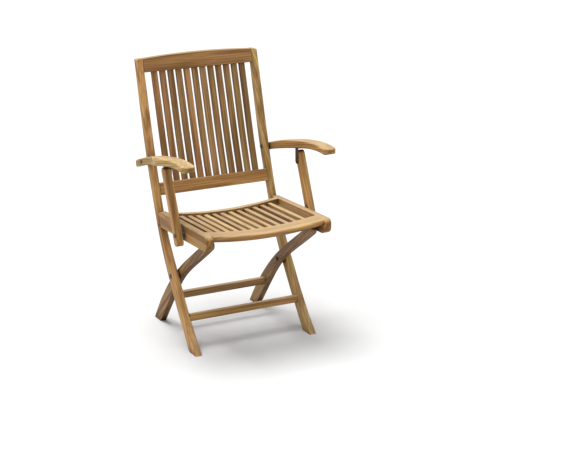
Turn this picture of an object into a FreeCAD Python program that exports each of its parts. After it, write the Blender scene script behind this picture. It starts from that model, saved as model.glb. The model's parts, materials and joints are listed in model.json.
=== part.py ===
import FreeCAD, Part
import os
from math import degrees, sqrt

# Folding slatted armchair.  Millimetres.  The chair stands on z = 0 and faces -Y,
# its middle plane is x = 0.  "Left" is the -X side, as seen from the front.
# Every side view outline is given as (y, z).

# ---- overall sizes ---------------------------------------------------------
HEIGHT = 963.0                  # floor to the top of the back, in the middle
CROWN = 9.5                     # the top of the back is this much lower at its outer corners
CROWN_CORNER = 7.0              # radius of those corners
FRAME_HALF_WIDTH = 236.5        # outer face of the stiles and seat side rails
STILE_THICK = 25.5              # thickness of stiles and seat side rails, across the chair
LEG_THICK = 23.5                # thickness of the rear legs
LEG_GAP = 4.6                   # between stile and rear leg, filled by a washer
ARM_INNER_X = 239.6             # inner face of the arms
ARM_NARROW = 24.0               # arm width at the rear end
ARM_WIDE = 50.0                 # arm width at the hand
POST_INNER_X = 245.0            # inner face of the arm posts
POST_THICK = 26.0
POST_DEPTH = 27.0
SLAT_COUNT = 12                 # in the seat and in the back
BACK_SLAT_PITCH = 31.2
BACK_SLAT_SIZE = (22.0, 13.0)   # width and thickness
SEAT_SLAT_PITCH = 31.7
SEAT_SLAT_SIZE = (16.5, 14.0)
SEAT_SLAT_DROP = 6.0            # the seat slats lie this far below the tops of their rails

STILE_INNER_X = FRAME_HALF_WIDTH - STILE_THICK
LEG_OUTER_X = STILE_INNER_X - LEG_GAP
LEG_INNER_X = LEG_OUTER_X - LEG_THICK

# ---- pivots, (y, z) ---------------------------------------------------------
CROSS_PIVOT = (12.0, 231.0)     # stile and rear leg
SEAT_PIVOT = (98.0, 431.0)      # seat on the stile's hinge plate
ARM_PIVOT = (188.0, 609.0)      # arm on the stile
POST_FOOT_PIVOT = (-116.0, 420.0)
# The post pivots repeat the line from the seat pivot to the arm pivot, so that the
# seat, the post, the arm and the stile make a parallelogram.
POST_HEAD_PIVOT = (
    POST_FOOT_PIVOT[0] + ARM_PIVOT[0] - SEAT_PIVOT[0],
    POST_FOOT_PIVOT[1] + ARM_PIVOT[1] - SEAT_PIVOT[1],
)
SLIDE_PIN = (-230.0, 407.0)     # pin in the top of the rear leg, under the slide rail

BOLT_RADIUS = 4.0
SCREW_RADIUS = 2.5
RUNNING_FIT = 0.05              # radial clearance of a bolt in a turning part
EDGE_ROUND = 3.0                # softened edge of the thick boards

# ---- seat -------------------------------------------------------------------
RAIL_HEIGHT = 54.0
RAIL_CORNER = 11.0              # rear top corner turns about the seat pivot
RAIL_SLOPE = 0.042              # the seat rises toward the front
SEAT_FRONT_Y = -295.0
RAIL_NOSE_ROUND = (27.0, 19.0)  # lower and upper corner of the rail's front end
DISH = 16.0                     # the seat is lower in the middle than at the side rails
FRONT_RAIL_REAR_Y = -225.0
FRONT_RAIL_NOSE_Y = -291.0
FRONT_RAIL_HEIGHT = 22.5
REAR_RAIL_Y = (55.0, 80.0)
REAR_RAIL_HEIGHT = 23.0

# ---- back -------------------------------------------------------------------
# The stile outlines run on above the crown, which trims them.
STILE_FRONT = [(-193, 0), (-67, 146), (7, 252), (71, 346), (121, 452), (164, 576), (209, 728), (276, 966)]
STILE_REAR = [(-135, 0), (-22, 146), (50, 252), (103, 346), (147, 452), (193, 576), (238, 728), (297.68, 966)]
CREST_BOTTOM = (260.5, 909.0)   # lower front edge of the crest rail
CREST_LEAN = 0.2585             # how far the crest rail leans back for each unit of height
LOWER_RAIL_BOTTOM = (135.5, 492.0)
LOWER_RAIL_TOP = (150.0, 534.0)
BACK_RAIL_THICK = 20.0
BACK_SLAT_FRONT = [(154.0, 534.0), (199.0, 676.0), (231.0, 790.0), (264.5, 909.0)]

FRONT_STRETCHER_Y = (-95.0, -77.0)
FRONT_STRETCHER_Z = (92.0, 118.0)

# ---- rear legs --------------------------------------------------------------
LEG_FRONT = [(186, 0), (93, 118), (0, 222), (-100, 298)]
LEG_REAR = [(240, 0), (142, 131), (15, 254), (-91, 331)]
LEG_END_RADIUS = 16.5
LEG_END_DIRECTION = (-0.816, 0.578)
REAR_STRETCHER_Y = (101.0, 122.0)
REAR_STRETCHER_Z = (105.0, 131.0)

# ---- arms -------------------------------------------------------------------
ARM_TOP = [(243, 601), (190, 620), (80, 652), (-50, 678), (-160, 690), (-222, 688)]
ARM_BOTTOM = [(239, 576), (190, 592), (80, 621), (-50, 650), (-160, 667), (-222, 666)]
ARM_FRONT_Y = -236.0
ARM_EDGE_ROUND = 5.5
ARM_HAND_CORNER = 20.0          # corner of the hand, seen from above
ARM_FLARE_Y = (125.0, -15.0)    # where the arm starts to widen, and where it is at its widest
# The wooden post stands a little steeper than the line through its two pivots.
POST_MIDDLE = (
    (POST_FOOT_PIVOT[0] + POST_HEAD_PIVOT[0]) / 2,
    (POST_FOOT_PIVOT[1] + POST_HEAD_PIVOT[1]) / 2,
)
POST_LEAN = 0.415
POST_LOW_Z = 396.0              # centre of the round lower end
POST_HIGH_Z = 624.0             # centre of the round upper end

# ---- steel fittings ---------------------------------------------------------
HINGE_LOW_BOLT = (108.5, 392.0)
HINGE_HIGH_BOLT = (120.0, 416.0)
PLATE_THICK = 2.5
PLATE_MARGIN = 7.0              # plate edge around each bolt of the hinge plate
SLIDE_STRIP_HEIGHT = 13.0
SLIDE_STRIP_REAR_Y = 40.0
SLIDE_STOP = (6.0, 8.0)         # length and drop of the lug that stops the pin
BRACKET_THICK = 2.0
BRACKET_INNER_X = 242.6
BRACKET_WIDTH = 19.0
BRACKET_FLANGE = 20.0
LOW_HEAD = 1.6                  # height of the screw heads that the rear legs pass


def vector(x, point):
    """A point of a side view, placed at the given x."""
    return FreeCAD.Vector(x, point[0], point[1])


def curve(points, x=0.0):
    """A smooth edge through side view points."""
    spline = Part.BSplineCurve()
    spline.interpolate([vector(x, point) for point in points])
    return spline.toShape()


def line(start, end, x=0.0):
    return Part.makeLine(vector(x, start), vector(x, end))


def arc(start, middle, end, x=0.0):
    return Part.Arc(vector(x, start), vector(x, middle), vector(x, end)).toShape()


def board(edges, x_from, x_to):
    """A board cut to a side view outline, standing between two x values."""
    face = Part.Face(Part.Wire(Part.__sortEdges__(edges)))
    solid = face.extrude(FreeCAD.Vector(x_to - x_from, 0, 0))
    solid.translate(FreeCAD.Vector(x_from, 0, 0))
    return solid


def soften(solid, radius, keep):
    """Round the edges for which keep(edge) is true."""
    return solid.makeFillet(radius, [edge for edge in solid.Edges if keep(edge)])


def lies_in_side_face(edge, x_values, shortest=30.0):
    """True for the long outline edges of a board, on either of its side faces."""
    box = edge.BoundBox
    flat = box.XLength < 0.01
    on_face = any(abs(box.XMin - x) < 0.01 for x in x_values)
    return flat and on_face and edge.Length > shortest


def runs_across(edge, length):
    """True for straight edges that run along X over the given length."""
    box = edge.BoundBox
    return abs(box.XLength - length) < 0.5 and box.YLength < 0.01 and box.ZLength < 0.01


def pin(x_from, x_to, point, radius):
    """A round pin along X at a side view point."""
    low = min(x_from, x_to)
    return Part.makeCylinder(radius, abs(x_to - x_from), vector(low, point), FreeCAD.Vector(1, 0, 0))


def drill(solid, point, radius, x_from=-400.0, x_to=400.0):
    return solid.cut(pin(x_from, x_to, point, radius))


def mirrored(solid):
    """The same piece on the other side of the chair."""
    return solid.mirror(FreeCAD.Vector(0, 0, 0), FreeCAD.Vector(1, 0, 0))


def dome_head(x_face, direction, point, radius, height):
    """A low domed bolt head standing on a face at x_face."""
    head = pin(x_face, x_face + direction * height, point, radius)
    outer = x_face + direction * height
    rim = [e for e in head.Edges if abs(e.BoundBox.XMin - outer) < 0.01 and e.BoundBox.XLength < 0.01]
    return head.makeFillet(height * 0.6, rim)


def hex_nut(x_face, direction, point, radius, height, bore):
    """A hexagonal nut standing on a face at x_face."""
    half = radius * sqrt(3) / 2
    ring = [
        (radius, 0), (radius / 2, half), (-radius / 2, half),
        (-radius, 0), (-radius / 2, -half), (radius / 2, -half), (radius, 0),
    ]
    corners = [vector(x_face, (point[0] + y, point[1] + z)) for y, z in ring]
    face = Part.Face(Part.makePolygon(corners))
    nut = face.extrude(FreeCAD.Vector(direction * height, 0, 0))
    return drill(nut, point, bore)


def washer(x_from, x_to, point, radius, bore):
    return drill(pin(x_from, x_to, point, radius), point, bore)


# ---- back frame -------------------------------------------------------------

def stile():
    """Right back post: one curved board from the crest down to the front foot."""
    edges = [
        curve(STILE_FRONT), curve(STILE_REAR),
        line(STILE_FRONT[0], STILE_REAR[0]), line(STILE_FRONT[-1], STILE_REAR[-1]),
    ]
    solid = board(edges, STILE_INNER_X, FRAME_HALF_WIDTH)
    faces = (STILE_INNER_X, FRAME_HALF_WIDTH)
    solid = soften(solid, EDGE_ROUND, lambda e: lies_in_side_face(e, faces, 100.0))
    solid = solid.common(under_crown())
    for point in (CROSS_PIVOT, ARM_PIVOT):
        solid = drill(solid, point, BOLT_RADIUS)
    solid = drill(solid, HINGE_LOW_BOLT, SCREW_RADIUS)
    solid = drill(solid, HINGE_HIGH_BOLT, SCREW_RADIUS, STILE_INNER_X - 1, STILE_INNER_X + 18)
    return solid


def crown_drop(x):
    """How far the top edge of the back lies below its middle, at x."""
    return CROWN * (x / FRAME_HALF_WIDTH) ** 2


def under_crown():
    """All the space below the arched top edge of the back, as a prism."""
    half = FRAME_HALF_WIDTH
    corner = HEIGHT - CROWN

    def at(x, z):
        return FreeCAD.Vector(x, SEAT_FRONT_Y, z)

    edges = [
        Part.Arc(at(-half, corner), at(0, HEIGHT), at(half, corner)).toShape(),
        Part.makeLine(at(half, corner), at(half, 0)),
        Part.makeLine(at(half, 0), at(-half, 0)),
        Part.makeLine(at(-half, 0), at(-half, corner)),
    ]
    prism = Part.Face(Part.Wire(edges)).extrude(FreeCAD.Vector(0, 700, 0))
    return soften(prism, CROWN_CORNER, lambda e: e.BoundBox.ZMin > corner - 1 and e.BoundBox.XLength < 1)


def leaning_rail(bottom, top):
    """A straight rail between the stiles that leans back with them."""
    rise = FreeCAD.Vector(0, top[0] - bottom[0], top[1] - bottom[1])
    length = 2 * STILE_INNER_X
    rail = Part.makeBox(length, BACK_RAIL_THICK, rise.Length)
    rail = soften(rail, 2.5, lambda e: runs_across(e, length))
    lean = FreeCAD.Rotation(FreeCAD.Vector(0, 0, 1), rise)
    rail.Placement = FreeCAD.Placement(vector(-STILE_INNER_X, bottom), lean)
    return rail


def crest_rail():
    """The top rail of the back, its upper edge trimmed to the crown."""
    spare = 20.0
    top_z = HEIGHT + spare
    top = (CREST_BOTTOM[0] + CREST_LEAN * (top_z - CREST_BOTTOM[1]), top_z)
    rail = leaning_rail(CREST_BOTTOM, top).common(under_crown())
    middle_z = (CREST_BOTTOM[1] + HEIGHT) / 2
    return soften(rail, 2.5, lambda e: e.BoundBox.ZMin > middle_z and e.BoundBox.XLength > 300)


def slat_centres(pitch):
    first = -pitch * (SLAT_COUNT - 1) / 2
    return [first + pitch * i for i in range(SLAT_COUNT)]


def back_slat(x):
    """One upright slat, bent like the stiles; its ends reach into the rails that trim it."""
    width, thick = BACK_SLAT_SIZE
    overlap = 6.0
    (low_y, low_z), (high_y, high_z) = BACK_SLAT_FRONT[0], BACK_SLAT_FRONT[-1]
    front = [(low_y - 2, low_z - overlap)] + BACK_SLAT_FRONT + [(high_y + 1.6, high_z + overlap)]
    rear = [(y + thick, z) for y, z in front]
    edges = [curve(front), curve(rear), line(front[0], rear[0]), line(front[-1], rear[-1])]
    faces = (x - width / 2, x + width / 2)
    solid = board(edges, *faces)
    return soften(solid, 2.5, lambda e: lies_in_side_face(e, faces, 100.0))


def upright_bar(half_length, y_range, z_range, radius):
    """A bar across the chair with rounded long edges."""
    size = (2 * half_length, y_range[1] - y_range[0], z_range[1] - z_range[0])
    bar = Part.makeBox(*size, FreeCAD.Vector(-half_length, y_range[0], z_range[0]))
    return soften(bar, radius, lambda e: runs_across(e, 2 * half_length))


# ---- fittings ---------------------------------------------------------------

def hinge_plate():
    """Steel plate on the inner face of the stile that carries the seat pivot in front of it."""
    x_from = STILE_INNER_X - PLATE_THICK
    holes = (HINGE_LOW_BOLT, HINGE_HIGH_BOLT, SEAT_PIVOT)
    triangle = Part.makePolygon([vector(x_from, p) for p in holes + holes[:1]])
    core = Part.Face(triangle).extrude(FreeCAD.Vector(PLATE_THICK, 0, 0))
    plate = core
    for start, end in zip(holes, holes[1:] + holes[:1]):
        plate = plate.fuse(rounded_link(start, end, PLATE_MARGIN, x_from, STILE_INNER_X))
    plate = plate.removeSplitter()
    for point in holes[:2]:
        plate = drill(plate, point, SCREW_RADIUS)
    return drill(plate, SEAT_PIVOT, BOLT_RADIUS + RUNNING_FIT)


def rounded_link(start, end, radius, x_from, x_to):
    """A flat link with round ends, centred on two side view points."""
    step = FreeCAD.Vector(0, end[0] - start[0], end[1] - start[1])
    side = FreeCAD.Vector(0, -step.z, step.y).normalize() * radius
    a = vector(x_from, start)
    b = vector(x_from, end)
    body = Part.Face(Part.makePolygon([a + side, b + side, b - side, a - side, a + side]))
    link = body.extrude(FreeCAD.Vector(x_to - x_from, 0, 0))
    link = link.fuse([pin(x_from, x_to, start, radius), pin(x_from, x_to, end, radius)])
    return link.removeSplitter()


def both_sides(solid):
    """The right hand piece and its mirror image, as one group."""
    return Part.makeCompound([solid, mirrored(solid)])


def bolt(x_head, x_end, point, radius, head_radius, head_height):
    """A bolt along X: domed head on the face at x_head, shank to x_end."""
    direction = 1 if x_head > x_end else -1
    shank = pin(x_head, x_end, point, radius)
    return shank.fuse(dome_head(x_head, direction, point, head_radius, head_height)).removeSplitter()


# ---- seat -------------------------------------------------------------------

def rail_top(y):
    """Height of the seat side rail's top edge."""
    return SEAT_PIVOT[1] + RAIL_CORNER + (SEAT_PIVOT[0] - y) * RAIL_SLOPE


def seat_top(x, y):
    """Height of the dished seat between the side rails."""
    return rail_top(y) - DISH * (1 - (x / STILE_INNER_X) ** 2)


def seat_side_rail():
    """Right seat side rail; its rear top corner is round about the seat pivot."""
    (low_y, low_z), (high_y, high_z) = STILE_FRONT[3:5]
    along = FreeCAD.Vector(0, high_y - low_y, high_z - low_z).normalize()
    toward_stile = FreeCAD.Vector(0, along.z, -along.y)
    pivot = vector(0, SEAT_PIVOT)
    corner_end = pivot + toward_stile * RAIL_CORNER
    corner_top = FreeCAD.Vector(0, SEAT_PIVOT[0], rail_top(SEAT_PIVOT[0]))
    corner_mid = pivot + (toward_stile + FreeCAD.Vector(0, 0, 1)).normalize() * RAIL_CORNER
    drop = RAIL_HEIGHT - RAIL_CORNER + toward_stile.z * RAIL_CORNER
    rear_bottom = corner_end - along * (drop / along.z)
    front_top = FreeCAD.Vector(0, SEAT_FRONT_Y, rail_top(SEAT_FRONT_Y))
    front_bottom = front_top - FreeCAD.Vector(0, 0, RAIL_HEIGHT)
    edges = [
        Part.Arc(corner_top, corner_mid, corner_end).toShape(),
        Part.makeLine(corner_end, rear_bottom), Part.makeLine(rear_bottom, front_bottom),
        Part.makeLine(front_bottom, front_top), Part.makeLine(front_top, corner_top),
    ]
    solid = board(edges, STILE_INNER_X, FRAME_HALF_WIDTH)
    lower_round, upper_round = RAIL_NOSE_ROUND
    solid = soften(solid, lower_round, lambda e: is_corner(e, front_bottom))
    solid = soften(solid, upper_round, lambda e: is_corner(e, front_top))
    outer = (FRAME_HALF_WIDTH,)
    solid = soften(solid, EDGE_ROUND, lambda e: lies_in_side_face(e, outer, 10.0))
    solid = drill(solid, SEAT_PIVOT, BOLT_RADIUS, STILE_INNER_X - 1, STILE_INNER_X + 17)
    for point in slide_screw_points():
        solid = drill(solid, point, SCREW_RADIUS, STILE_INNER_X - 1, STILE_INNER_X + 14)
    return drill(solid, POST_FOOT_PIVOT, BOLT_RADIUS, STILE_INNER_X + 7, FRAME_HALF_WIDTH + 1)


def is_corner(edge, corner):
    """True for the straight edge along X that passes a side view corner."""
    box = edge.BoundBox
    near_y = abs(box.YMin - corner.y) < 0.01 and box.YLength < 0.01
    near_z = abs(box.ZMin - corner.z) < 0.01 and box.ZLength < 0.01
    return near_y and near_z and box.XLength > 1


def dished_rail(section_edges, y_middle):
    """A seat cross rail: its section follows the dish of the seat from side to side."""
    reach = STILE_INNER_X + 6
    start = FreeCAD.Vector(-reach, y_middle, seat_top(reach, y_middle))
    middle = FreeCAD.Vector(0, y_middle, seat_top(0, y_middle))
    end = FreeCAD.Vector(reach, y_middle, seat_top(reach, y_middle))
    path = Part.Arc(start, middle, end).toShape()
    section = Part.Wire(Part.__sortEdges__(section_edges))
    section.translate(FreeCAD.Vector(start.x, 0, start.z - rail_top(y_middle)))
    turn = FreeCAD.Rotation(FreeCAD.Vector(1, 0, 0), path.tangentAt(path.FirstParameter))
    section.rotate(start, turn.Axis, degrees(turn.Angle))
    solid = Part.Wire(path).makePipeShell([section], True, True)
    corner = FreeCAD.Vector(-STILE_INNER_X, y_middle - 100, middle.z - 100)
    return solid.common(Part.makeBox(2 * STILE_INNER_X, 200, 200, corner))


def front_seat_rail():
    """Broad front rail with a rounded nose."""
    rear = FRONT_RAIL_REAR_Y
    nose = FRONT_RAIL_NOSE_Y
    top_rear = rail_top(rear)
    top_front = rail_top(nose)
    bottom = top_rear - FRONT_RAIL_HEIGHT
    nose_z = top_front - 9
    edges = [
        line((rear, bottom), (rear, top_rear)),
        line((rear, top_rear), (nose + 8, rail_top(nose + 8))),
        arc((nose + 8, rail_top(nose + 8)), (nose + 2, top_front - 2.4), (nose, nose_z)),
        arc((nose, nose_z), (nose + 7, bottom + 5.5), (nose + 26, bottom)),
        line((nose + 26, bottom), (rear, bottom)),
    ]
    return dished_rail(edges, (rear + nose) / 2)


def rear_seat_rail():
    """Slimmer rear rail; the slats end against its front face."""
    front, rear = REAR_RAIL_Y
    top = rail_top(front)
    bottom = top - REAR_RAIL_HEIGHT
    soft = 5.0
    edges = [
        line((front, bottom), (front, top)), line((front, top), (rear - soft, top)),
        arc((rear - soft, top), (rear - 1.5, top - 1.5), (rear, top - soft)),
        line((rear, top - soft), (rear, bottom)), line((rear, bottom), (front, bottom)),
    ]
    return dished_rail(edges, (front + rear) / 2)


def seat_slat(x):
    """One slat from the rear rail to the front rail, a little below their dished tops."""
    width, thick = SEAT_SLAT_SIZE
    front = FRONT_RAIL_REAR_Y
    rear = REAR_RAIL_Y[0]
    z_front = seat_top(x, front) - SEAT_SLAT_DROP
    z_rear = seat_top(x, rear) - SEAT_SLAT_DROP
    corners = [
        (front, z_front), (rear, z_rear),
        (rear, z_rear - thick), (front, z_front - thick), (front, z_front),
    ]
    edges = [line(a, b) for a, b in zip(corners, corners[1:])]
    faces = (x - width / 2, x + width / 2)
    solid = board(edges, *faces)
    return soften(solid, 2.5, lambda e: lies_in_side_face(e, faces, 100.0))


def slide_depth():
    """How far the slide pin sits below the seat rail's top edge."""
    return rail_top(SLIDE_PIN[0]) - SLIDE_PIN[1]


def slide_rail():
    """Steel strip on the rail's inner face; the pin of the rear leg runs along its lower edge."""
    x_from = STILE_INNER_X - PLATE_THICK
    depth = slide_depth() - BOLT_RADIUS - RUNNING_FIT
    stop_length, stop_drop = SLIDE_STOP
    rear = SLIDE_STRIP_REAR_Y
    stop = SLIDE_PIN[0] - BOLT_RADIUS - RUNNING_FIT
    front = stop - stop_length

    def below_edge(y, drop):
        return vector(x_from, (y, rail_top(y) - depth - drop))

    outline = [
        below_edge(rear, 0), below_edge(rear, -SLIDE_STRIP_HEIGHT), below_edge(front, -SLIDE_STRIP_HEIGHT),
        below_edge(front, stop_drop), below_edge(stop, stop_drop), below_edge(stop, 0), below_edge(rear, 0),
    ]
    strip = Part.Face(Part.makePolygon(outline))
    strip = strip.extrude(FreeCAD.Vector(PLATE_THICK, 0, 0))
    for point in slide_screw_points():
        strip = drill(strip, point, SCREW_RADIUS)
    return strip


def slide_screw_points():
    """Fixing screws of the slide rail, spread along its length."""
    middle = slide_depth() - BOLT_RADIUS - SLIDE_STRIP_HEIGHT / 2
    return [(y, rail_top(y) - middle) for y in (-215.0, -95.0, 25.0)]


def slide_rail_screws():
    """The screws of one slide rail, driven into the seat side rail."""
    head_x = STILE_INNER_X - PLATE_THICK
    screws = [
        bolt(head_x, STILE_INNER_X + 14, point, SCREW_RADIUS, 4.5, LOW_HEAD)
        for point in slide_screw_points()
    ]
    return Part.makeCompound(screws)


# ---- rear legs --------------------------------------------------------------

def leg_end(side):
    """Where a long edge of the leg meets its round top; side is +1 above, -1 below."""
    dy, dz = LEG_END_DIRECTION
    return (
        SLIDE_PIN[0] + side * dz * LEG_END_RADIUS,
        SLIDE_PIN[1] - side * dy * LEG_END_RADIUS,
    )


def rear_leg():
    """Right rear leg, bent like the stile, with a round top around the slide pin."""
    tip = (
        SLIDE_PIN[0] + LEG_END_DIRECTION[0] * LEG_END_RADIUS,
        SLIDE_PIN[1] + LEG_END_DIRECTION[1] * LEG_END_RADIUS,
    )
    front = LEG_FRONT + [leg_end(-1)]
    rear = LEG_REAR + [leg_end(1)]
    edges = [curve(front), curve(rear), line(front[0], rear[0]), arc(front[-1], tip, rear[-1])]
    solid = board(edges, LEG_INNER_X, LEG_OUTER_X)
    faces = (LEG_INNER_X, LEG_OUTER_X)
    solid = soften(solid, EDGE_ROUND, lambda e: lies_in_side_face(e, faces, 100.0))
    solid = drill(solid, CROSS_PIVOT, BOLT_RADIUS + RUNNING_FIT)
    return drill(solid, SLIDE_PIN, BOLT_RADIUS, LEG_OUTER_X - 16, LEG_OUTER_X + 1)


# ---- arms and posts ---------------------------------------------------------

def arm():
    """Right arm: a bent board, narrow behind the post and broad at the hand."""
    front_mid = (ARM_FRONT_Y, (ARM_TOP[-1][1] + ARM_BOTTOM[-1][1]) / 2)
    edges = [
        curve(ARM_TOP), curve(ARM_BOTTOM), line(ARM_TOP[0], ARM_BOTTOM[0]),
        arc(ARM_TOP[-1], front_mid, ARM_BOTTOM[-1]),
    ]
    solid = board(edges, ARM_INNER_X, ARM_INNER_X + ARM_WIDE)
    solid = solid.common(arm_plan())
    solid = soften(solid, ARM_EDGE_ROUND, lambda e: e.Length > 10)
    return drill(solid, ARM_PIVOT, BOLT_RADIUS + RUNNING_FIT)


def arm_plan():
    """The arm's outline seen from above, as a tall prism."""
    inner = ARM_INNER_X
    narrow = inner + ARM_NARROW
    wide = inner + ARM_WIDE
    corner = ARM_HAND_CORNER
    middle = corner * (1 - sqrt(0.5))
    front = ARM_FRONT_Y - 1
    rear = ARM_TOP[0][0] + 1

    def at(x, y):
        return FreeCAD.Vector(x, y, 500)

    flare_rear, flare_front = ARM_FLARE_Y
    forward = FreeCAD.Vector(0, -1, 0)
    flare = Part.BSplineCurve()
    flare.interpolate([at(narrow, flare_rear), at(wide, flare_front)],
                      InitialTangent=forward, FinalTangent=forward)
    outer_corner = Part.Arc(
        at(wide, front + corner), at(wide - middle, front + middle), at(wide - corner, front))
    inner_corner = Part.Arc(
        at(inner + corner, front), at(inner + middle, front + middle), at(inner, front + corner))
    edges = [
        Part.makeLine(at(inner, rear), at(narrow, rear)),
        Part.makeLine(at(narrow, rear), at(narrow, flare_rear)),
        flare.toShape(),
        Part.makeLine(at(wide, flare_front), at(wide, front + corner)),
        outer_corner.toShape(),
        Part.makeLine(at(wide - corner, front), at(inner + corner, front)),
        inner_corner.toShape(),
        Part.makeLine(at(inner, front + corner), at(inner, rear)),
    ]
    face = Part.Face(Part.Wire(Part.__sortEdges__(edges)))
    return face.extrude(FreeCAD.Vector(0, 0, 300))


def post_point(z):
    """Centre line of the post at height z."""
    return (POST_MIDDLE[0] + POST_LEAN * (z - POST_MIDDLE[1]), z)


def arm_post():
    """Right arm post between the seat rail and the arm."""
    low = post_point(POST_LOW_Z)
    high = post_point(POST_HIGH_Z)
    post = rounded_link(low, high, POST_DEPTH / 2, POST_INNER_X, POST_INNER_X + POST_THICK)
    faces = (POST_INNER_X, POST_INNER_X + POST_THICK)
    post = soften(post, 2.0, lambda e: lies_in_side_face(e, faces, 10.0))
    post = drill(post, POST_FOOT_PIVOT, BOLT_RADIUS + RUNNING_FIT)
    return drill(post, POST_HEAD_PIVOT, BOLT_RADIUS + RUNNING_FIT, POST_INNER_X - 1, POST_INNER_X + 19)


def arm_bottom_z(y):
    """Height of the arm's lower face near the post."""
    (y0, z0), (y1, z1) = ARM_BOTTOM[2], ARM_BOTTOM[3]
    bow = 1.6 * (1 - ((2 * y - y0 - y1) / (y0 - y1)) ** 2)
    return z0 + (z1 - z0) * (y0 - y) / (y0 - y1) + bow


def arm_bracket(arm_solid):
    """Steel angle: one leaf under the arm, the other hanging down beside the post."""
    pivot_y, pivot_z = POST_HEAD_PIVOT
    half = BRACKET_WIDTH / 2
    rear_z = arm_bottom_z(pivot_y + half)
    front_z = arm_bottom_z(pivot_y - half)
    outline = [
        line((pivot_y + half, pivot_z), (pivot_y + half, rear_z)),
        line((pivot_y + half, rear_z), (pivot_y - half, front_z)),
        line((pivot_y - half, front_z), (pivot_y - half, pivot_z)),
        arc((pivot_y - half, pivot_z), (pivot_y, pivot_z - half), (pivot_y + half, pivot_z)),
    ]
    leaf = board(outline, BRACKET_INNER_X, BRACKET_INNER_X + BRACKET_THICK)
    flange = [
        (pivot_y + half, rear_z), (pivot_y - half, front_z),
        (pivot_y - half, front_z - BRACKET_THICK), (pivot_y + half, rear_z - BRACKET_THICK),
        (pivot_y + half, rear_z),
    ]
    edges = [line(a, b) for a, b in zip(flange, flange[1:])]
    shelf = board(edges, BRACKET_INNER_X, BRACKET_INNER_X + BRACKET_FLANGE)
    bracket = leaf.fuse(shelf).removeSplitter().cut(arm_solid)
    return drill(bracket, POST_HEAD_PIVOT, BOLT_RADIUS)


# ---- the whole chair --------------------------------------------------------

def pieces():
    """Every piece of the chair, by name."""
    result = {}

    def pair(name, solid):
        result["right_" + name] = solid
        result["left_" + name] = mirrored(solid)

    pair("stile", stile())
    result["crest_rail"] = crest_rail()
    result["lower_back_rail"] = leaning_rail(LOWER_RAIL_BOTTOM, LOWER_RAIL_TOP)
    for number, x in enumerate(slat_centres(BACK_SLAT_PITCH), 1):
        between_rails = back_slat(x).cut([result["crest_rail"], result["lower_back_rail"]])
        result["back_slat_%02d" % number] = between_rails
    result["front_stretcher"] = upright_bar(STILE_INNER_X, FRONT_STRETCHER_Y, FRONT_STRETCHER_Z, 4)

    pair("rear_leg", rear_leg())
    result["rear_stretcher"] = upright_bar(LEG_INNER_X, REAR_STRETCHER_Y, REAR_STRETCHER_Z, 4)

    pair("seat_rail", seat_side_rail())
    result["front_seat_rail"] = front_seat_rail()
    result["rear_seat_rail"] = rear_seat_rail()
    for number, x in enumerate(slat_centres(SEAT_SLAT_PITCH), 1):
        result["seat_slat_%02d" % number] = seat_slat(x)

    right_arm = arm()
    pair("arm", right_arm)
    pair("arm_post", arm_post())
    pair("arm_bracket", arm_bracket(right_arm))

    result.update(fittings())
    return result


def fittings():
    """Steel plates, bolts, nuts and washers."""
    arm_outer = ARM_INNER_X + ARM_NARROW
    post_outer = POST_INNER_X + POST_THICK
    result = {
        "hinge_plates": both_sides(hinge_plate()),
        "slide_rails": both_sides(slide_rail()),
        "slide_rail_screws": both_sides(slide_rail_screws()),
        "hinge_plate_bolts": Part.makeCompound([
            both_sides(bolt(FRAME_HALF_WIDTH, STILE_INNER_X - PLATE_THICK, HINGE_LOW_BOLT,
                            SCREW_RADIUS, 6.0, 1.8)),
            both_sides(bolt(STILE_INNER_X - PLATE_THICK, STILE_INNER_X + 18, HINGE_HIGH_BOLT,
                            SCREW_RADIUS, 5.0, LOW_HEAD)),
        ]),
        "seat_hinge_bolts": both_sides(
            bolt(STILE_INNER_X - PLATE_THICK - RUNNING_FIT, STILE_INNER_X + 17, SEAT_PIVOT,
                 BOLT_RADIUS, 6.0, LOW_HEAD)),
        "cross_pivot_bolts": both_sides(
            bolt(FRAME_HALF_WIDTH, LEG_INNER_X - 6, CROSS_PIVOT, BOLT_RADIUS, 8.0, 3.0)),
        "cross_pivot_nuts": both_sides(
            hex_nut(LEG_INNER_X - RUNNING_FIT, -1, CROSS_PIVOT, 7.5, 5.0, BOLT_RADIUS)),
        "cross_pivot_washers": both_sides(
            washer(LEG_OUTER_X + RUNNING_FIT, STILE_INNER_X, CROSS_PIVOT, 11.0, BOLT_RADIUS)),
        "arm_pivot_bolts": both_sides(
            bolt(arm_outer + RUNNING_FIT, STILE_INNER_X - 5, ARM_PIVOT, BOLT_RADIUS, 8.0, 3.0)),
        "arm_pivot_nuts": both_sides(hex_nut(STILE_INNER_X, -1, ARM_PIVOT, 7.0, 4.0, BOLT_RADIUS)),
        "arm_pivot_washers": both_sides(
            washer(FRAME_HALF_WIDTH, ARM_INNER_X - RUNNING_FIT, ARM_PIVOT, 10.0, BOLT_RADIUS)),
        "post_foot_bolts": both_sides(
            bolt(post_outer + RUNNING_FIT, STILE_INNER_X + 7, POST_FOOT_PIVOT, BOLT_RADIUS, 7.5, 3.0)),
        "post_foot_washers": both_sides(
            washer(FRAME_HALF_WIDTH, POST_INNER_X - RUNNING_FIT, POST_FOOT_PIVOT, 9.0, BOLT_RADIUS)),
        "leg_slide_pins": both_sides(
            pin(LEG_OUTER_X - 16, STILE_INNER_X - 0.5, SLIDE_PIN, BOLT_RADIUS)),
    }
    head_bolt = bolt(BRACKET_INNER_X, POST_INNER_X + 19, POST_HEAD_PIVOT, BOLT_RADIUS, 6.5, 1.7)
    result["right_post_head_bolt"] = head_bolt
    result["left_post_head_bolt"] = mirrored(head_bolt)
    return result


os.makedirs("parts", exist_ok=True)
for name, shape in pieces().items():
    shape.exportStep("parts/%s.step" % name)
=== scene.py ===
import json
import random
from math import cos, radians, sin, tau

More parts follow.
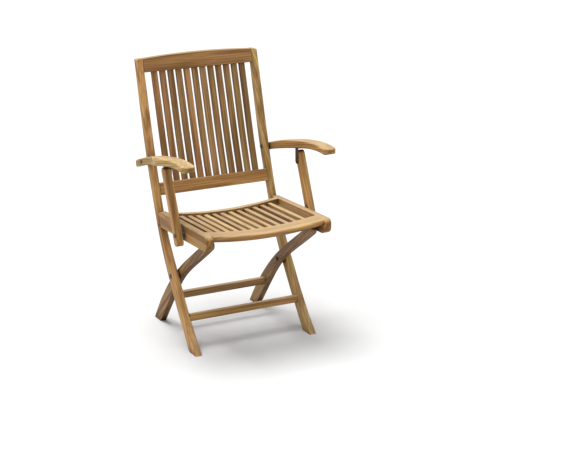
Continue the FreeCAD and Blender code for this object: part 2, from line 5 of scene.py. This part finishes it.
import bpy
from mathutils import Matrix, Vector


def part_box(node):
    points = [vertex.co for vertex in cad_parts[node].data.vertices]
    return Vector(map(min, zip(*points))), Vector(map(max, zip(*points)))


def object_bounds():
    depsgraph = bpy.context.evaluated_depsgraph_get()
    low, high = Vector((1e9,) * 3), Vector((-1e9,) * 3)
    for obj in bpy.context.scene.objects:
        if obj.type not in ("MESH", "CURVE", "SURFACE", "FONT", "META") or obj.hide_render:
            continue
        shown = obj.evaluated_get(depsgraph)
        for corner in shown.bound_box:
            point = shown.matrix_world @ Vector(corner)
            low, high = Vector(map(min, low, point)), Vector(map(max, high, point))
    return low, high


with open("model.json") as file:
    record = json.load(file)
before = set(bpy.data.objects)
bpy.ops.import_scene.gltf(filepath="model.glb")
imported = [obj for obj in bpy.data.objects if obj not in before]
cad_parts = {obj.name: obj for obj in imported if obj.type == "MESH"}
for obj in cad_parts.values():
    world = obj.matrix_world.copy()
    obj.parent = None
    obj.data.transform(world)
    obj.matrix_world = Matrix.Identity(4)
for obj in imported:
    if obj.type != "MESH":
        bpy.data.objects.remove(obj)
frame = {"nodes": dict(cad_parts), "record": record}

cad_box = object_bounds()

# Looks of a folding teak garden armchair.  Metres, in the frame of the CAD model: z = 0 is the
# floor, the chair faces -Y, its middle plane is x = 0.

# ---- wood colours, linear RGB ------------------------------------------------
HONEY = (0.385, 0.212, 0.080)
STRAW = (0.420, 0.268, 0.106)
OLIVE = (0.280, 0.178, 0.072)
RUSSET = (0.315, 0.160, 0.068)
UMBER = (0.325, 0.188, 0.086)
WALNUT = (0.240, 0.135, 0.056)
TOP_SHEEN = (0.350, 0.268, 0.162)   # upward faces: painted sheen of the overhead light
FRAME_TONES = (HONEY, STRAW)
BACK_RAIL_TONES = (HONEY, RUSSET)
# Darker tones for the rear legs and rear stretcher; the darkness also paints the shade under the seat.
REAR_LEG_SHADE_TONES = (UMBER, WALNUT)
SEAT_TONES = (HONEY, UMBER, STRAW, RUSSET)
BACK_TONES = (WALNUT, RUSSET, WALNUT, UMBER, OLIVE)
TONE_SPREAD = (0.92, 1.08)         # boards of one tone differ in brightness this much

# Factors that turn a board's tone into the colours found on it.
EARLY_WOOD = (1.36, 1.38, 1.36)
LATE_WOOD = (0.56, 0.46, 0.34)
HEARTWOOD = (0.67, 0.58, 0.46)
GREEN_STREAK = (0.96, 1.03, 0.86)
PORE = (0.42, 0.34, 0.26)
CUT_END = (0.68, 0.60, 0.50)
# Pale rubbed edges, and a painted highlight along them.
PALE_EDGE_AND_HIGHLIGHT = (1.45, 1.55, 1.70)
# Painted shade on downward faces.
UNDERSIDE_SHADE = (0.50, 0.41, 0.30)
# Painted shade in the narrow seams between parts.
SEAM_SHADE = (0.34, 0.25, 0.14)
GAP_SHADE = (0.25, 0.13, 0.035)

# ---- grain -------------------------------------------------------------------
# Scale of each pattern across the board, and its change along the board as a share of that.
BAND_SCALE = 55.0
HUE_SCALE = 24.0
HUE_STRETCH = 0.2
STREAK_SCALE = 190.0
STREAK_STRETCH = 0.05
FIBRE_SCALE = 1300.0
FIBRE_STRETCH = 0.02
RING_SCALE = 42.0
RING_STRETCH = 0.10
WEAR_SCALE = 60.0

# How strongly each feature shows, from 0 to 1.
GREEN_SHARE = 0.9
RING_SHARE = 0.60
STREAK_SHARE = 0.75
PORE_SHARE = 0.55
# Share of the painted sheen on upward faces.
TOP_SHEEN_SHARE = 0.70
# Share of the pale rubbed edges and their painted highlight.
EDGE_PALING_SHARE = 0.6
ENCLOSED_SHARE = 0.9

EDGE_WIDTH = 0.0035
SEAM_REACH = 0.009
GAP_REACH = 0.050
GRAIN_DEPTH = 0.0006
PITH_DISTANCE = (0.05, 0.14)       # boards are sawn this far from the middle of the log
LOG_HALF_LENGTH = 5.0

# ---- steel -------------------------------------------------------------------
STEEL = (0.105, 0.090, 0.074)
RUST = (0.060, 0.040, 0.026)
CLOUD_SCALE = 160.0
SPECK_SCALE = 900.0
SPECK_DEPTH = 0.0003

# ---- view and light ----------------------------------------------------------
VIEW_AZIMUTH = radians(-27.6)      # from straight in front, round to the chair's -X side
VIEW_ELEVATION = radians(17.5)
VIEW_DISTANCE = 4.966
VIEW_LENS = 95.4                   # mm, on the default 36 mm sensor
AIM_AHEAD = 0.099                  # the view is centred this far in front of the seat
AIM_HEIGHT = 0.4887                # and at this share of the chair's height
SKY_STRENGTH = 0.64
SUN_STRENGTH = 5.0
SUN_SPREAD = radians(38)
TOWARD_SUN = (-0.12, 0.17, 1.0)    # almost straight above
FLOOR_GREY = 0.50
FLOOR_REACH = 60.0

random.seed(7)


# ---- node helpers ------------------------------------------------------------

def fill(tree, socket, value):
    """Link a socket to value if that is a socket too, otherwise set it."""
    if isinstance(value, bpy.types.NodeSocket):
        tree.links.new(value, socket)
    else:
        socket.default_value = value


def add_node(tree, kind, values=None, **settings):
    """A node with its settings; values fills its inputs by name or number."""
    node = tree.nodes.new(kind)
    for name, value in settings.items():
        setattr(node, name, value)
    for key, value in (values or {}).items():
        fill(tree, node.inputs[key], value)
    return node


def math(tree, operation, *values):
    """Result of one number operation."""
    node = add_node(tree, "ShaderNodeMath", dict(enumerate(values)), operation=operation)
    return node.outputs[0]


def product(tree, first, second):
    return math(tree, "MULTIPLY", first, second)


def drawn_out(tree, vector, stretch):
    """Log coordinates squeezed along the board, so that a pattern in them is drawn out."""
    values = {0: vector, 1: (1.0, 1.0, stretch)}
    return add_node(tree, "ShaderNodeVectorMath", values, operation="MULTIPLY").outputs[0]


def noise(tree, vector, scale, detail=3.0, roughness=0.55):
    values = {"Vector": vector, "Scale": scale, "Detail": detail, "Roughness": roughness}
    return add_node(tree, "ShaderNodeTexNoise", values).outputs["Fac"]


def between(tree, value, low, high, to_low=0.0, to_high=1.0):
    """value mapped smoothly from low..high to to_low..to_high."""
    values = {"Value": value, "From Min": low, "From Max": high, "To Min": to_low, "To Max": to_high}
    node = add_node(tree, "ShaderNodeMapRange", values, interpolation_type="SMOOTHSTEP")
    return node.outputs["Result"]


def z_of(tree, vector):
    return add_node(tree, "ShaderNodeSeparateXYZ", {0: vector}).outputs["Z"]


def mix(tree, factor, first, second, blend="MIX"):
    """Two colours mixed, or combined by another blend type."""
    node = add_node(tree, "ShaderNodeMix", data_type="RGBA", blend_type=blend)
    for number, value in ((0, factor), (6, first), (7, second)):
        fill(tree, node.inputs[number], value)
    return node.outputs[2]


def rgba(colour, gain=1.0):
    return (colour[0] * gain, colour[1] * gain, colour[2] * gain, 1.0)


def tinted(tree, colour, factors):
    return mix(tree, 1.0, colour, rgba(factors), "MULTIPLY")


def stained(tree, amount, colour, factors):
    """The colour, turned by amount into its tinted self."""
    return mix(tree, amount, colour, tinted(tree, colour, factors))


def empty_material(name):
    material = bpy.data.materials.new(name)
    material.use_nodes = True
    material.node_tree.nodes.clear()
    return material


# ---- teak --------------------------------------------------------------------

def teak_group():
    """Shared teak look.  Turn lays the board's length along Z, Place picks its spot in the log."""
    tree = bpy.data.node_groups.new("teak", "ShaderNodeTree")
    for name, kind in (("Turn", "Vector"), ("Place", "Vector"), ("Tone", "Color")):
        tree.interface.new_socket(name, in_out="INPUT", socket_type="NodeSocket" + kind)
    for name, kind in (("Colour", "Color"), ("Roughness", "Float"), ("Normal", "Vector")):
        tree.interface.new_socket(name, in_out="OUTPUT", socket_type="NodeSocket" + kind)
    inputs = add_node(tree, "NodeGroupInput")
    here = add_node(tree, "ShaderNodeTexCoord")

    def turned(vector):
        values = {"Vector": vector, "Rotation": inputs.outputs["Turn"]}
        return add_node(tree, "ShaderNodeVectorRotate", values, rotation_type="EULER_XYZ").outputs[0]

    values = {0: turned(here.outputs["Object"]), 1: inputs.outputs["Place"]}
    in_log = add_node(tree, "ShaderNodeVectorMath", values, operation="ADD").outputs[0]
    streaks = noise(tree, drawn_out(tree, in_log, STREAK_STRETCH), STREAK_SCALE, 4.0, 0.6)
    fibres = noise(tree, drawn_out(tree, in_log, FIBRE_STRETCH), FIBRE_SCALE, 3.0, 0.7)
    pores = between(tree, fibres, 0.60, 0.74)
    along = z_of(tree, turned(here.outputs["Normal"]))
    end_grain = between(tree, math(tree, "ABSOLUTE", along), 0.80, 0.97)

    colour = grain(tree, inputs.outputs["Tone"], in_log, streaks, pores)
    colour = stained(tree, end_grain, colour, CUT_END)
    # Painted sheen on the tops and painted shade underneath.
    colour = painted_light_by_facing(tree, colour, here.outputs["Normal"], streaks, end_grain)
    add_node(tree, "NodeGroupOutput", {
        "Colour": wear_and_painted_light(tree, colour, in_log),
        "Roughness": satin(tree, streaks, pores),
        "Normal": relief(tree, streaks, pores)})
    return tree


def grain(tree, tone, in_log, streaks, pores):
    """The colour of sawn teak: broad bands, a green cast in places, rings, streaks and pores."""
    bands = noise(tree, drawn_out(tree, in_log, STREAK_STRETCH), BAND_SCALE, 2.0)
    hue = noise(tree, drawn_out(tree, in_log, HUE_STRETCH), HUE_SCALE, 2.0)
    rings = add_node(
        tree, "ShaderNodeTexWave",
        {"Vector": drawn_out(tree, in_log, RING_STRETCH), "Scale": RING_SCALE, "Distortion": 4.5,
         "Detail": 3.0, "Detail Scale": 0.8, "Detail Roughness": 0.55},
        wave_type="RINGS", rings_direction="Z").outputs["Fac"]
    early_wood = tinted(tree, tone, EARLY_WOOD)
    heartwood = tinted(tree, tone, HEARTWOOD)
    colour = mix(tree, between(tree, bands, 0.32, 0.68), early_wood, heartwood)
    colour = stained(tree, between(tree, hue, 0.45, 0.65, 0.0, GREEN_SHARE), colour, GREEN_STREAK)
    late_wood = tinted(tree, colour, LATE_WOOD)
    colour = mix(tree, between(tree, rings, 0.55, 1.0, 0.0, RING_SHARE), colour, late_wood)
    colour = mix(tree, between(tree, streaks, 0.52, 0.78, 0.0, STREAK_SHARE), colour, late_wood)
    return stained(tree, product(tree, pores, PORE_SHARE), colour, PORE)


def painted_light_by_facing(tree, colour, normal, streaks, end_grain):
    """Painted sheen of the overhead light on the tops, most between the dark streaks, and painted shade
    on the undersides.
    """
    up = z_of(tree, normal)
    upward = between(tree, up, 0.45, 0.95, 0.0, TOP_SHEEN_SHARE)
    pale = product(tree, upward, between(tree, streaks, 0.40, 0.75, 1.0, 0.55))
    open_face = math(tree, "SUBTRACT", 1.0, end_grain)
    # Painted sheen on upward faces.
    colour = mix(tree, product(tree, pale, open_face), colour, rgba(TOP_SHEEN))
    # Painted shade on downward faces.
    return stained(tree, between(tree, up, -0.9, -0.1, 1.0, 0.0), colour, UNDERSIDE_SHADE)


def wear_and_painted_light(tree, colour, in_log):
    """Pale rubbed edges with a painted edge highlight, and painted shade in the gaps between the boards
    and in the seams.
    """
    patchy = between(tree, noise(tree, in_log, WEAR_SCALE), 0.35, 0.65, 0.25, 1.0)
    edge_paling = product(tree, outer_edges(tree), product(tree, patchy, EDGE_PALING_SHARE))
    # Pale rubbed edges with a painted edge highlight.
    colour = stained(tree, edge_paling, colour, PALE_EDGE_AND_HIGHLIGHT)
    # Painted shade in the gaps between the boards.
    colour = stained(tree, enclosed(tree, GAP_REACH, 0.26, 0.82), colour, GAP_SHADE)
    # Painted shade in the narrow seams between parts.
    return stained(tree, enclosed(tree, SEAM_REACH, 0.30, 0.85), colour, SEAM_SHADE)


def outer_edges(tree):
    """1 on the outer edges of a piece, 0 on its flat faces."""
    rounded = add_node(tree, "ShaderNodeBevel", {"Radius": EDGE_WIDTH}, samples=4)
    flat = add_node(tree, "ShaderNodeNewGeometry")
    values = {0: rounded.outputs["Normal"], 1: flat.outputs["True Normal"]}
    same = add_node(tree, "ShaderNodeVectorMath", values, operation="DOT_PRODUCT").outputs["Value"]
    return between(tree, math(tree, "SUBTRACT", 1.0, same), 0.02, 0.16)


def enclosed(tree, reach, closed, open_air):
    """Near 1 in the seams and gaps between boards no wider than reach, 0 in the open."""
    share = add_node(tree, "ShaderNodeAmbientOcclusion", {"Distance": reach}, samples=6).outputs["AO"]
    return between(tree, share, closed, open_air, ENCLOSED_SHARE, 0.0)


def satin(tree, streaks, pores):
    """The roughness of satin wood, higher at the pores."""
    sheen = between(tree, streaks, 0.3, 0.7, 0.42, 0.56)
    return math(tree, "ADD", sheen, product(tree, pores, 0.2))


def relief(tree, streaks, pores):
    """The normal of a face whose streaks stand out a little and whose pores are sunk."""
    height = math(tree, "ADD", product(tree, streaks, 0.6), product(tree, pores, -0.5))
    bump = add_node(tree, "ShaderNodeBump", {"Strength": 0.35, "Distance": GRAIN_DEPTH, "Height": height})
    return bump.outputs["Normal"]


def grain_direction(node):
    """Which way the grain of a board runs."""
    low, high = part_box(node)
    if node.startswith("seat_slat") or node in ("left_seat_rail", "right_seat_rail"):
        return Vector((0, 1, 0))
    if "rail" in node or "stretcher" in node:
        return Vector((1, 0, 0))
    rises_to_front = node in ("left_arm", "right_arm") or "leg" in node
    run = high.y - low.y
    return Vector((0, -run if rises_to_front else run, high.z - low.z))


def board_tones(node):
    if node.startswith("back_slat"):
        return BACK_TONES
    if node.startswith("seat_slat"):
        return SEAT_TONES
    if node.endswith("rear_leg") or node == "rear_stretcher":
        return REAR_LEG_SHADE_TONES
    if node in ("crest_rail", "lower_back_rail"):
        return BACK_RAIL_TONES
    if node == "right_stile":
        return (STRAW,)
    return FRAME_TONES


def teak_board(group, node):
    """The material of one board: its own tone, grain direction and place in the log."""
    turn = grain_direction(node).normalized().rotation_difference(Vector((0, 0, 1))).to_euler()
    from_pith = random.uniform(*PITH_DISTANCE)
    angle = random.uniform(0, tau)
    along_log = random.uniform(-LOG_HALF_LENGTH, LOG_HALF_LENGTH)
    tone = Vector(random.choice(board_tones(node))) * random.uniform(*TONE_SPREAD)
    place = (from_pith * cos(angle), from_pith * sin(angle), along_log)
    return teak_material("teak_" + node, group, {"Turn": turn, "Place": place, "Tone": rgba(tone)})


def teak_material(name, group, settings):
    """The shared look with a board's own settings.  Its shader is outside the group, for exporters."""
    material = empty_material(name)
    tree = material.node_tree
    wood = add_node(tree, "ShaderNodeGroup", node_tree=group)
    for key, value in settings.items():
        wood.inputs[key].default_value = value
    surface = add_node(tree, "ShaderNodeBsdfPrincipled", {
        "Base Color": wood.outputs["Colour"],
        "Roughness": wood.outputs["Roughness"],
        "Specular IOR Level": 0.20,
        "Normal": wood.outputs["Normal"]})
    add_node(tree, "ShaderNodeOutputMaterial", {"Surface": surface.outputs["BSDF"]})
    material.diffuse_color = settings["Tone"]
    return material


# ---- steel -------------------------------------------------------------------

def dull_steel():
    """Plated steel that has weathered: uneven roughness, faint brown film."""
    material = empty_material("dull_steel")
    tree = material.node_tree
    here = add_node(tree, "ShaderNodeTexCoord").outputs["Object"]
    clouds = noise(tree, here, CLOUD_SCALE, 4.0)
    specks = noise(tree, here, SPECK_SCALE, 2.0)
    bump = add_node(tree, "ShaderNodeBump", {"Strength": 0.2, "Distance": SPECK_DEPTH, "Height": specks})
    steel = add_node(tree, "ShaderNodeBsdfPrincipled", {
        "Base Color": mix(tree, between(tree, clouds, 0.45, 0.75, 0.0, 0.7), rgba(STEEL), rgba(RUST)),
        "Metallic": 0.9,
        "Roughness": between(tree, clouds, 0.3, 0.7, 0.34, 0.60),
        "Normal": bump.outputs["Normal"]})
    add_node(tree, "ShaderNodeOutputMaterial", {"Surface": steel.outputs["BSDF"]})
    return material


def dress(node, material):
    """Give a CAD node its material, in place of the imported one."""
    slots = frame["nodes"][node].data.materials
    slots.clear()
    slots.append(material)


def dress_cad_nodes():
    group = teak_group()
    steel = dull_steel()
    for part in frame["record"]["subparts"]:
        node = part["node"]
        dress(node, steel if part["material_slot"] == "steel" else teak_board(group, node))


# ---- studio ------------------------------------------------------------------

def studio_floor():
    """A plain pale floor, large enough to fill the picture."""
    mesh = bpy.data.meshes.new("floor")
    corners = [(x * FLOOR_REACH, y * FLOOR_REACH, 0) for x, y in ((-1, -1), (1, -1), (1, 1), (-1, 1))]
    mesh.from_pydata(corners, [], [(0, 1, 2, 3)])
    floor = bpy.data.objects.new("floor", mesh)
    bpy.context.scene.collection.objects.link(floor)
    material = bpy.data.materials.new("floor")
    material.use_nodes = True
    surface = material.node_tree.nodes["Principled BSDF"]
    surface.inputs["Base Color"].default_value = rgba((1, 1, 1), FLOOR_GREY)
    surface.inputs["Roughness"].default_value = 0.9
    surface.inputs["Specular IOR Level"].default_value = 0.1
    mesh.materials.append(material)


def sky():
    """Even white light from all round."""
    world = bpy.data.worlds.new("studio")
    world.use_nodes = True
    background = world.node_tree.nodes["Background"]
    background.inputs["Color"].default_value = (1, 1, 1, 1)
    background.inputs["Strength"].default_value = SKY_STRENGTH
    bpy.context.scene.world = world


def soft_sun():
    """One broad lamp overhead."""
    lamp = bpy.data.lights.new("softbox", "SUN")
    lamp.energy = SUN_STRENGTH
    lamp.angle = SUN_SPREAD
    light = bpy.data.objects.new("softbox", lamp)
    bpy.context.scene.collection.objects.link(light)
    light.rotation_euler = Vector(TOWARD_SUN).to_track_quat("Z", "Y").to_euler()


def camera():
    """Looks past the front of the seat; the chair stands left of the middle of the view."""
    low, high = cad_box
    aim = Vector((0, low[1] - AIM_AHEAD, AIM_HEIGHT * high[2]))
    toward_camera = Vector((
        sin(VIEW_AZIMUTH) * cos(VIEW_ELEVATION),
        -cos(VIEW_AZIMUTH) * cos(VIEW_ELEVATION),
        sin(VIEW_ELEVATION)))
    lens = bpy.data.cameras.new("view")
    lens.lens = VIEW_LENS
    eye = bpy.data.objects.new("view", lens)
    eye.location = aim + toward_camera * VIEW_DISTANCE
    eye.rotation_euler = toward_camera.to_track_quat("Z", "Y").to_euler()
    bpy.context.scene.collection.objects.link(eye)
    bpy.context.scene.camera = eye


dress_cad_nodes()
studio_floor()
sky()
soft_sun()
camera()
bpy.context.scene.view_settings.view_transform = "Standard"
